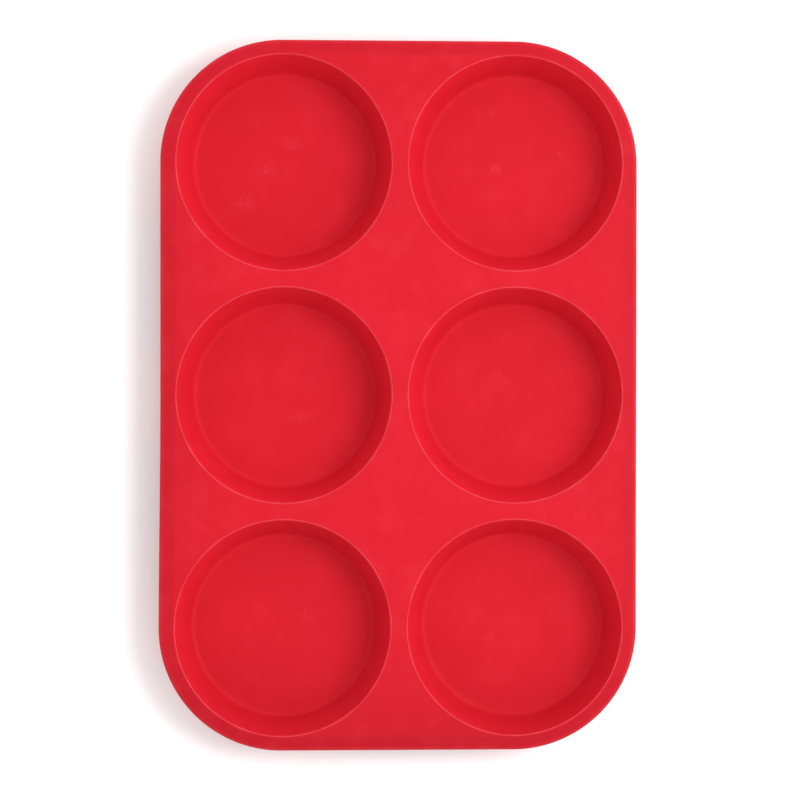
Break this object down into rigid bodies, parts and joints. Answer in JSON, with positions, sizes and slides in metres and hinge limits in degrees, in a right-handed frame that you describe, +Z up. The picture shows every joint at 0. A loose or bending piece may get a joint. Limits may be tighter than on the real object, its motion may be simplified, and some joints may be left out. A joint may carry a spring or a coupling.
{
  "type": "muffin pan",
  "caption": "Flexible one-sheet silicone baking pan: shallow round cups hang from a flat deck with large rounded corners and a thickened edge.",
  "frame": {"origin": "under the middle of the pan, on the plane that the cup floors stand on", "axes": "+Z up out of the cups, +Y along the long side towards the back row, +X along the short side towards the right column"},
  "size_m": [0.1984, 0.295, 0.02],
  "materials": {
    "silicone_deck": "satin",
    "silicone_rim": "satin",
    "silicone_cup": "satin"
  },
  "bodies": {
    "root": {"deck": "silicone_deck", "perimeter_rim": "silicone_rim", "cup_front_left": "silicone_cup", "cup_front_right": "silicone_cup", "cup_middle_left": "silicone_cup", "cup_middle_right": "silicone_cup", "cup_back_left": "silicone_cup", "cup_back_right": "silicone_cup"}
  },
  "joints": []
}
